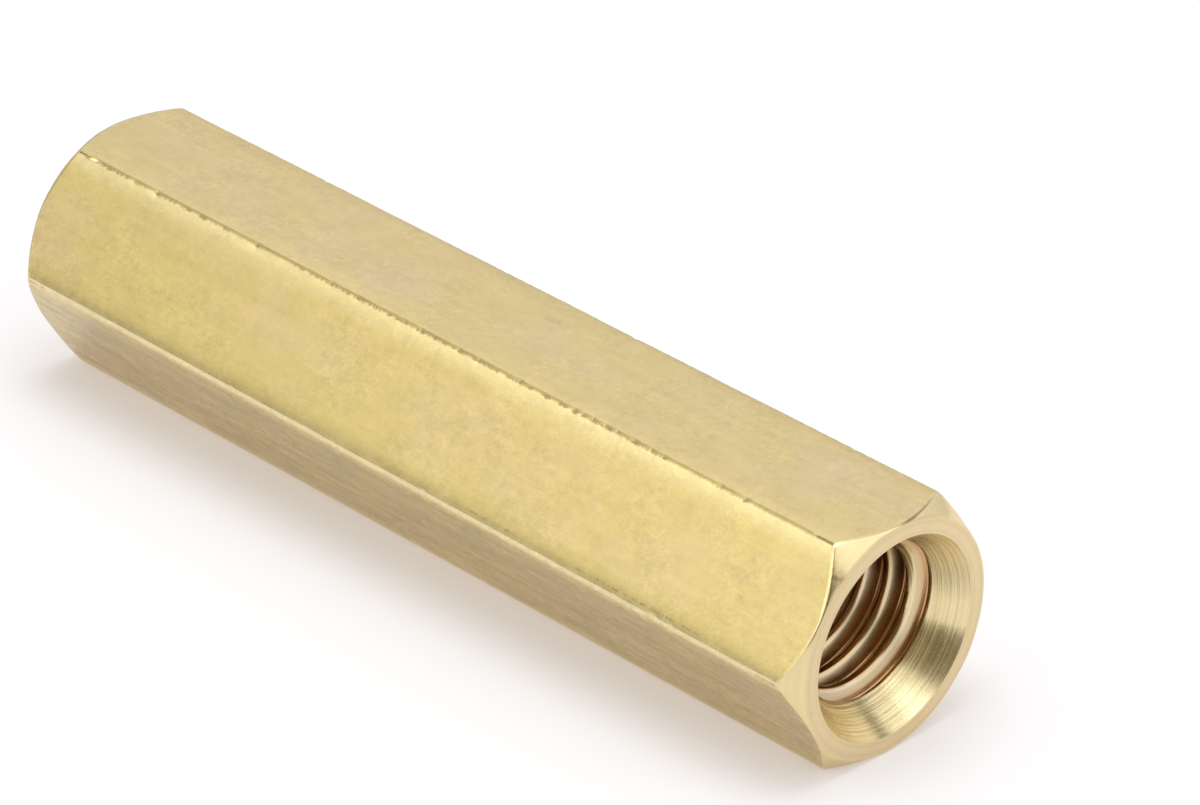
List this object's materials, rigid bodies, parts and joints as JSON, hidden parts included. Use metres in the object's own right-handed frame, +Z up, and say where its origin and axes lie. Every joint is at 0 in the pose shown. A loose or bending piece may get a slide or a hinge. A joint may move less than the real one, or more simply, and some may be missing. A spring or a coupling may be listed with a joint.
{
  "type": "hex standoff",
  "caption": "Brass female-to-female hex standoff: hexagon bar threaded along its axis, with a countersunk and chamfered end on each side.",
  "frame": {"origin": "middle of the flat that the standoff rests on", "axes": "+X along the threaded bore, +Y across two opposite corners, +Z up, out of the flat opposite the resting one"},
  "size_m": [0.03, 0.0078, 0.0069],
  "materials": {
    "brass": "bright drawn brass, satin with faint lengthwise draw marks, turned ends"
  },
  "bodies": {
    "root": {"standoff": "brass"}
  },
  "joints": []
}
